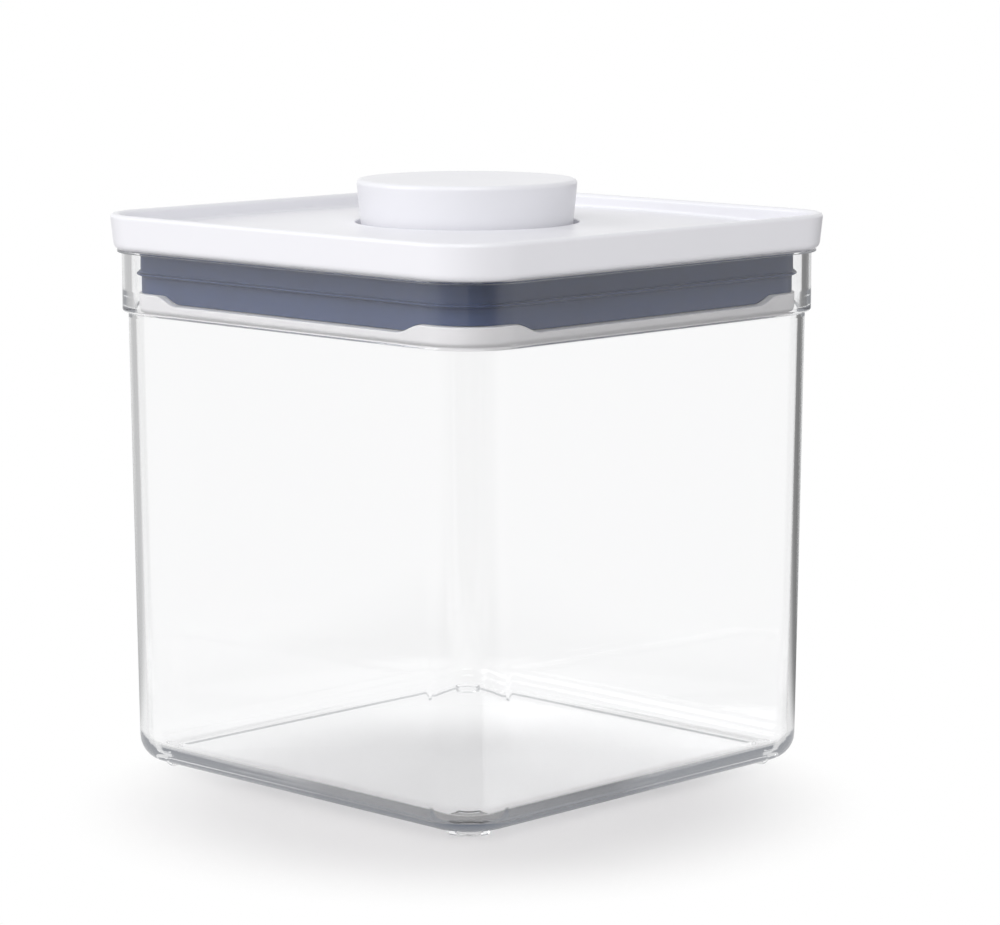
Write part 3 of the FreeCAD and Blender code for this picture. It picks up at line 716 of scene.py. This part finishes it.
class CONTAINER_OT_lid_cover(bpy.types.Operator):
    """Lid cover: a crowned deck blended from the round hole to the rounded square, then the rim and side.

    The deck's height is the apex less how far a ball of the crown's radius drops at that distance
    from the axis. Its plan goes in a straight line from the hole to the rim."""
    bl_idname = "container.lid_cover"
    bl_label = "Lid cover"

    def execute(self, context):
        s = context.scene.container_lid_sizes
        centre = s.half - s.corner
        inner = s.half - s.rim
        foot = inner - s.deck_round
        crown_radius = (inner ** 2 - s.hole ** 2) / (2 * s.crown)
        apex = s.top - s.deck_depth + s.crown + s.hole ** 2 / (2 * crown_radius)

        def crown(flat):
            """Height of the deck over a point."""
            return apex - crown_radius + np.sqrt(crown_radius ** 2 - (flat ** 2).sum(-1))

        path = square_path(centre, side_stops(centre))
        outer = carried(path, foot, 0.0)[:, 0, :2]
        wall = carried(path, inner, 0.0)[:, 0, :2]
        ray = outer / np.linalg.norm(outer, axis=1)[:, None]

        def spread(radius, edge, share, drop):
            """Points from a circle to an edge, at shares of the way, below the deck by a drop."""
            flat = ray[:, None] * radius * (1 - share)[None, :, None] + edge[:, None] * share[None, :, None]
            return np.concatenate([flat, (crown(flat) - drop)[..., None]], 2)

        quarter = np.linspace(0, QUARTER, ARC_STEPS + 1)
        lip = ray[:, None] * (s.hole + s.hole_round * (1 - np.cos(quarter)))[None, :, None]
        lip = np.concatenate([lip, (crown(lip) - s.hole_round * (1 - np.sin(quarter)))[..., None]], 2)
        close = 0.003  # share of the way from either edge of the deck to its close point
        share = np.concatenate([[close], np.linspace(0, 1, DECK_STEPS)[1:-1], [1 - close, 1]])
        deck = spread(s.hole + s.hole_round, outer, share, 0.0)
        foot_height = crown(outer)[:, None]
        arc = np.append(quarter[1:], QUARTER)
        lift = s.deck_round * (1 - np.cos(arc))
        lift[-1] += SUPPORT
        fillet = carried(path, foot + s.deck_round * np.sin(arc), foot_height + lift)
        rim = rounded([
            (inner, s.seat),
            (inner, s.top, s.rim_inner_round),
            (s.half, s.top, s.rim_outer_round),
            (s.half - s.lean, s.seat, s.bottom_round),
        ])[1:]
        rim = carried(path, rim[:, 0], rim[:, 1])
        inside = carried(path, np.full(2, inner), np.hstack([
            np.full((len(wall), 1), s.seat), crown(wall)[:, None] - s.deck]))
        under = spread(s.hole, wall, share[::-1][1:], s.deck)
        tables = [(np.concatenate([lip, deck, fillet, rim, inside, under], 1), True)]
        ring = round_path(POST_STEPS)["outward"]
        reach = s.half - s.post_inset
        for x, y in ((1, 1), (-1, 1), (-1, -1), (1, -1)):
            foot_at = np.array([x, y]) * reach
            top = float(crown(foot_at)) - s.deck / 2
            tables.append((block(foot_at + ring * s.post, ring, s.seat + s.plate, top), False))
        piece = mesh_piece("cover_shell", *tables)
        dress(context, piece, "white_cover", "lid", "lid_cover")
        return {"FINISHED"}


class CONTAINER_OT_button(bpy.types.Operator):
    """Push button: a profile turned about the axis, with a leaning side, a flange and a dished top.

    The dish's height is the top less its depth times one less the square of the share of its radius."""
    bl_idname = "container.button"
    bl_label = "Push button"

    def execute(self, context):
        s = context.scene.container_button_sizes
        flange_top = s.low + s.flange_height
        under = s.top - s.cap

        def side(height):
            """Radius of the leaning side at a height."""
            return s.radius - s.draft * (s.top - height)

        rim = side(s.top) - 3 * s.edge_round
        share = np.linspace(0, 1, DISH_STEPS)
        dish = np.stack([rim * share, s.top - s.dish * (1 - share ** 2)], 1)
        ring_outer = s.core_ring + s.core_ring_width
        outer = rounded([
            (rim, s.top),
            (side(s.top), s.top, s.edge_round),
            (side(flange_top), flange_top, MOULD_ROUND),
            (s.flange, flange_top, MOULD_ROUND),
            (s.flange, s.low, MOULD_ROUND),
            (side(flange_top) - s.wall, s.low, MOULD_ROUND),
            (side(under) - s.wall, under, MOULD_ROUND),
            (ring_outer, under),
            (ring_outer, under - s.core_ring_depth),
            (s.core_ring, under - s.core_ring_depth),
            (s.core_ring, under),
            (0, under),
        ])
        profile = np.vstack([dish, outer[1:]])
        points = carried(round_path(BUTTON_STEPS), profile[:, 0], profile[:, 1])
        piece = mesh_piece("push_button", (points, False))
        dress(context, piece, "white_cover", "button", "button_cap")
        return {"FINISHED"}


class CONTAINER_OT_return_spring(bpy.types.Operator):
    """Return spring: a round wire carried along a helix whose first and last turns lie flat.

    The helix's height goes evenly between its two ends, past three quarters of a turn at each."""
    bl_idname = "container.return_spring"
    bl_label = "Return spring"

    def execute(self, context):
        s = context.scene.container_button_sizes
        radius = SPRING_HIGH.x - s.wire / 2
        flat_turns = 0.75
        turn = np.linspace(0, s.turns * 4 * QUARTER, int(s.turns * TURN_STEPS))
        share = (turn / (4 * QUARTER) - flat_turns) / (s.turns - 2 * flat_turns)
        low, high = SPRING_LOW.z + s.wire / 2, SPRING_HIGH.z - s.wire / 2
        height = low + (high - low) * np.clip(share, 0, 1)
        around = np.linspace(0, 4 * QUARTER, WIRE_STEPS, endpoint=False)
        out = radius + s.wire / 2 * np.cos(around)[:, None]
        rise = s.wire / 2 * np.sin(around)[:, None]
        tube = np.stack([out * np.cos(turn), out * np.sin(turn), height + rise], 2)
        ends = np.broadcast_to(tube.mean(0)[[0, -1]], (WIRE_STEPS, 2, 3))
        piece = mesh_piece("spring_coil", (np.concatenate([ends[:, :1], tube, ends[:, 1:]], 1), False))
        dress(context, piece, "steel", "lid", "return_spring")
        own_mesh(piece)
        return {"FINISHED"}


def seal_table(s, profile, raised=slice(0)):
    """Carry a profile round the lid's plug, with a run of its points raised at the corners.

    Their height is the profile's plus the corner's rise times 3 t squared less 2 t cubed, where t is the
    share of the way up the ramp: 0 along the sides, 1 round the corners."""
    ramp = np.linspace(s.ramp_start, s.ramp_start + s.ramp, RAMP_STEPS)
    path = square_path(s.corner, side_stops(s.corner, ramp))
    share = np.clip((path["along"] - s.ramp_start) / s.ramp, 0, 1)[:, None]
    rise = np.zeros(len(profile))
    rise[raised] = s.frame_rise - HAIR
    return carried(path, profile[:, 0], profile[:, 1] + share * share * (3 - 2 * share) * rise)


class CONTAINER_OT_seal_frame(bpy.types.Operator):
    """Frame under the gasket, whose edge rises at the corners, its four lugs and the plate that closes it"""
    bl_idname = "container.seal_frame"
    bl_label = "Seal frame and bottom cover"

    def execute(self, context):
        s = context.scene.container_seal_sizes
        edge_top = s.frame_low + s.frame_edge
        corner_top = edge_top + s.frame_rise
        opening = s.plate_half + s.plate_gap
        lower = rounded([
            (opening, s.plate_top),
            (opening, s.frame_low, MOULD_ROUND),
            (s.frame_half, s.frame_low, s.frame_round),
            (s.frame_half, edge_top, s.frame_top_round),
            (s.seat_half, edge_top),
        ])
        upper = np.array([
            (s.seat_half, corner_top), (s.guide_half, corner_top), (s.guide_half, s.guide_top),
            (s.guide_half - s.guide_wall, s.guide_top), (s.guide_half - s.guide_wall, s.plate_top)])
        edge = slice(len(lower) - ARC_POINTS - 1, len(lower))
        tables = [(seal_table(s, np.vstack([lower, upper]), edge), True)]
        lug_outer = s.guide_half - s.guide_wall / 2
        half_x = (lug_outer - s.lug_inner) / 2
        outline, outward = rounded_rectangle(half_x, s.lug_width / 2, 2 * MOULD_ROUND)
        outline = outline + (lug_outer - half_x, 0)
        for quarter in range(4):
            lug = block(
                turned(outline, quarter), turned(outward, quarter), s.guide_top - s.lug,
                s.guide_top - HAIR / 2)
            tables.append((lug, False))
        piece = mesh_piece("seal_frame", *tables)
        dress(context, piece, "white_inner", "frame", "gasket_frame")
        plate = np.array([
            (0, s.frame_low), (s.corner + CAP_EDGE, s.frame_low), (s.plate_half - s.plate_bevel, s.frame_low),
            (s.plate_half, s.frame_low + s.plate_bevel), (s.plate_half, s.plate_top),
            (s.corner + CAP_EDGE, s.plate_top), (0, s.plate_top)])
        cover = mesh_piece("bottom_plate", (seal_table(s, plate), False))
        dress(context, cover, "white_inner", "frame", "bottom_cover")
        return {"FINISHED"}


class CONTAINER_OT_gasket(bpy.types.Operator):
    """Soft gasket: a folded wall with a thin lip, carried round the lid's plug.

    Its lower edge has the frame's rise at the corners."""
    bl_idname = "container.gasket"
    bl_label = "Gasket"

    def execute(self, context):
        s = context.scene.container_seal_sizes
        face = s.lip_half - s.lip_reach
        inner = face - s.gasket_skin
        low = s.frame_low + s.frame_edge + s.soft_gap
        fold_low = low + s.frame_rise
        edge_round, root_round, lip_round = 0.0003, 0.0004, 0.00015
        profile = rounded([
            (inner, fold_low),
            (inner, low),
            (face - s.skirt_step, low, edge_round),
            (face - s.skirt_step, s.lip_top - s.lip, root_round),
            (s.lip_half, s.lip_top - s.lip / 3, lip_round),
            (s.lip_half, s.lip_top, lip_round),
            (face, s.lip_top, root_round),
            (face - s.face_lean, s.gasket_top, edge_round),
            (s.fold_half, s.gasket_top),
            (s.fold_half, s.gasket_top - s.gasket_fold),
            (inner, s.gasket_top - s.gasket_fold),
            (inner, fold_low + s.gasket_fold),
            (s.fold_half, fold_low + s.gasket_fold),
            (s.fold_half, fold_low),
        ])
        piece = mesh_piece("gasket_ring", (seal_table(s, profile, slice(1, ARC_POINTS + 2)), True))
        dress(context, piece, "silicone", None, "gasket")
        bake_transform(piece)
        return {"FINISHED"}


class CONTAINER_OT_mechanism(bpy.types.Operator):
    """Housing, chassis, core, barrel, levers and pins: the packed solids stay and take their finishes"""
    bl_idname = "container.mechanism"
    bl_label = "Housing and mechanism"

    def execute(self, context):
        levers = [f"rocker_lever_{side}" for side in range(1, 5)]
        pins = [f"lever_pin_{side}" for side in range(1, 5)]
        repaint(context, "white_inner", "inner_housing")
        repaint(context, "mechanism", "mechanism_chassis", "button_core", "index_barrel", *levers)
        repaint(context, "steel", "index_pins", "barrel_retainer", *pins)
        return {"FINISHED"}


# Studio

def lamp(name, power, place):
    """Square soft lamp that faces the middle of the object."""
    data = bpy.data.lights.new(name, "AREA")
    data.energy = power
    data.shape = "SQUARE"
    data.size = 1.2
    light = placed(name, data)
    light.location = place
    middle = np.array((0, 0, 0.09))
    direction = middle - place
    flat = math.hypot(direction[0], direction[1])
    light.rotation_euler = (
        math.atan2(flat, -direction[2]), 0, math.atan2(direction[1], direction[0]) - QUARTER)


def seen_share(n):
    """1 for rays from the camera, mirror reflections and refractions, 0 once a ray has met a matt surface."""
    path = n.path()
    seen = n.number("MAXIMUM", path["Is Camera Ray"], path["Is Glossy Ray"])
    seen = n.number("MAXIMUM", seen, path["Is Transmission Ray"])
    return n.number("MULTIPLY", seen, n.number("LESS_THAN", path["Diffuse Depth"], 0.5))


def white_floor(n, s):
    """Matt white floor that fades to plain white away from the object where it is seen.

    White's share is a smooth step of the distance from a place before the object. Mirror reflections see
    less of it except behind the object, as a painted reflection darker than the floor: the share lost is
    read off the cosine of the angle between the camera's side and the place, and it's largest just beyond
    the object's edges, which it draws in painted dark lines."""
    seen = seen_share(n)
    cloud = n.noise(scale=3, detail=2)
    paint = n.add("BsdfDiffuse", n.mixed(cloud, shaded(s.floor, 0.995), s.floor))
    glow = n.add("Emission", WHITE, n.number("MULTIPLY", seen, s.floor_lift))
    near = n.add("AddShader", paint.outputs[0], glow.outputs[0])
    white = n.add("Emission", WHITE, 1.0)
    front = np.array([math.sin(s.camera_azimuth), -math.cos(s.camera_azimuth), 0])
    place = n.place()
    distance = n.vector("DISTANCE", place, front * s.shadow_shift)
    share = n.number(
        "MULTIPLY", seen, n.ranged(distance, 0.0, 1.0, s.shadow_near, s.shadow_far, smooth=True))
    mirrored = n.number("MULTIPLY", n.number("MINIMUM", n.path()["Glossy Depth"], 1.0), seen)
    # Painted reflection: mirror reflections see the floor darker than it is, by direction, which draws dark
    # lines at the object's edges
    edge, side, before = 1 - s.edge_mirror, 1 - s.side_mirror, 1 - s.front_mirror
    lost = n.read_off(
        n.vector("DOT_PRODUCT", n.vector("NORMALIZE", place), front),
        (-0.95, 0.0), (-0.88, edge), (-0.6, edge), (-0.3, side), (0.6, side), (0.78, before))
    rightward = n.vector("DOT_PRODUCT", place, (-front[1], front[0], 0))
    left, turnover = (1 - s.left_mirror) / edge, 0.1
    lost = n.number("MULTIPLY", lost, n.ranged(rightward, left, 1.0, -turnover, turnover, smooth=True))
    n.finish(n.blended(n.number("MULTIPLY", mirrored, lost), n.blended(share, near, white)))


class CONTAINER_OT_studio(bpy.types.Operator):
    """White floor, soft lamps, even surroundings and the camera at the photograph's angle"""
    bl_idname = "container.studio"
    bl_label = "Studio"

    def execute(self, context):
        s = context.scene.container_studio
        scene = context.scene
        scene.view_settings.view_transform = "Standard"

        h = s.floor_half
        mesh = bpy.data.meshes.new("studio_floor")
        mesh.from_pydata([(-h, -h, 0), (h, -h, 0), (h, h, 0), (-h, h, 0)], [], [(0, 1, 2, 3)])
        floor = placed("studio_floor", mesh)
        mesh.materials.append(bpy.data.materials.new("Floor"))
        white_floor(Shading(mesh.materials[0]), s)

        scene.world = bpy.data.worlds.new("Studio")
        n = Shading(scene.world, "OutputWorld")
        level = n.ranged(seen_share(n), s.ambient, 1.0, 0.0, 1.0)
        n.finish(n.add("Background", WHITE, level))

        lamp("left_lamp", s.left_lamp, (-0.9, -1.5, 0.96))
        lamp("right_lamp", s.right_lamp, (1.0, -1.0, 1.4))

        data = bpy.data.cameras.new("camera")
        data.sensor_width = 36
        data.lens = s.lens
        data.clip_start = 0.05
        data.clip_end = 200
        camera = placed("camera", data)
        camera.location = (
            math.sin(s.camera_azimuth) * s.camera_distance,
            -math.cos(s.camera_azimuth) * s.camera_distance,
            s.camera_height)
        camera.rotation_euler = (QUARTER - s.look_down, 0, s.look_azimuth)
        scene.camera = camera
        return {"FINISHED"}


PIECES = (
    CONTAINER_OT_clear_body,
    CONTAINER_OT_lid_cover,
    CONTAINER_OT_button,
    CONTAINER_OT_return_spring,
    CONTAINER_OT_seal_frame,
    CONTAINER_OT_gasket,
    CONTAINER_OT_mechanism,
    CONTAINER_OT_studio,
)


class CONTAINER_PT_panel(bpy.types.Panel):
    """Lists the operators and the sizes that they use."""
    bl_idname = "CONTAINER_PT_panel"
    bl_label = "Storage container"
    bl_space_type = "VIEW_3D"
    bl_region_type = "UI"
    bl_category = "Container"

    def draw(self, context):
        for piece in PIECES:
            self.layout.operator(piece.bl_idname, text=piece.bl_label)
        for name, group in GROUPS.items():
            box = self.layout.box()
            box.label(text=group.__doc__)
            values = getattr(context.scene, name)
            for key in group.__annotations__:
                box.prop(values, key)


def register():
    """Register the classes and attach the groups to the scene."""
    for name, group in GROUPS.items():
        bpy.utils.register_class(group)
        setattr(bpy.types.Scene, name, bpy.props.PointerProperty(type=group))
    for piece in PIECES:
        bpy.utils.register_class(piece)
    bpy.utils.register_class(CONTAINER_PT_panel)


def unregister():
    """Undo register, in reverse."""
    bpy.utils.unregister_class(CONTAINER_PT_panel)
    for piece in reversed(PIECES):
        bpy.utils.unregister_class(piece)
    for name, group in reversed(GROUPS.items()):
        delattr(bpy.types.Scene, name)
        bpy.utils.unregister_class(group)


def main():
    """Build every piece and the studio."""
    register()
    for piece in PIECES:
        group, name = piece.bl_idname.split(".")
        getattr(getattr(bpy.ops, group), name)()


if __name__ == "__main__":
    main()
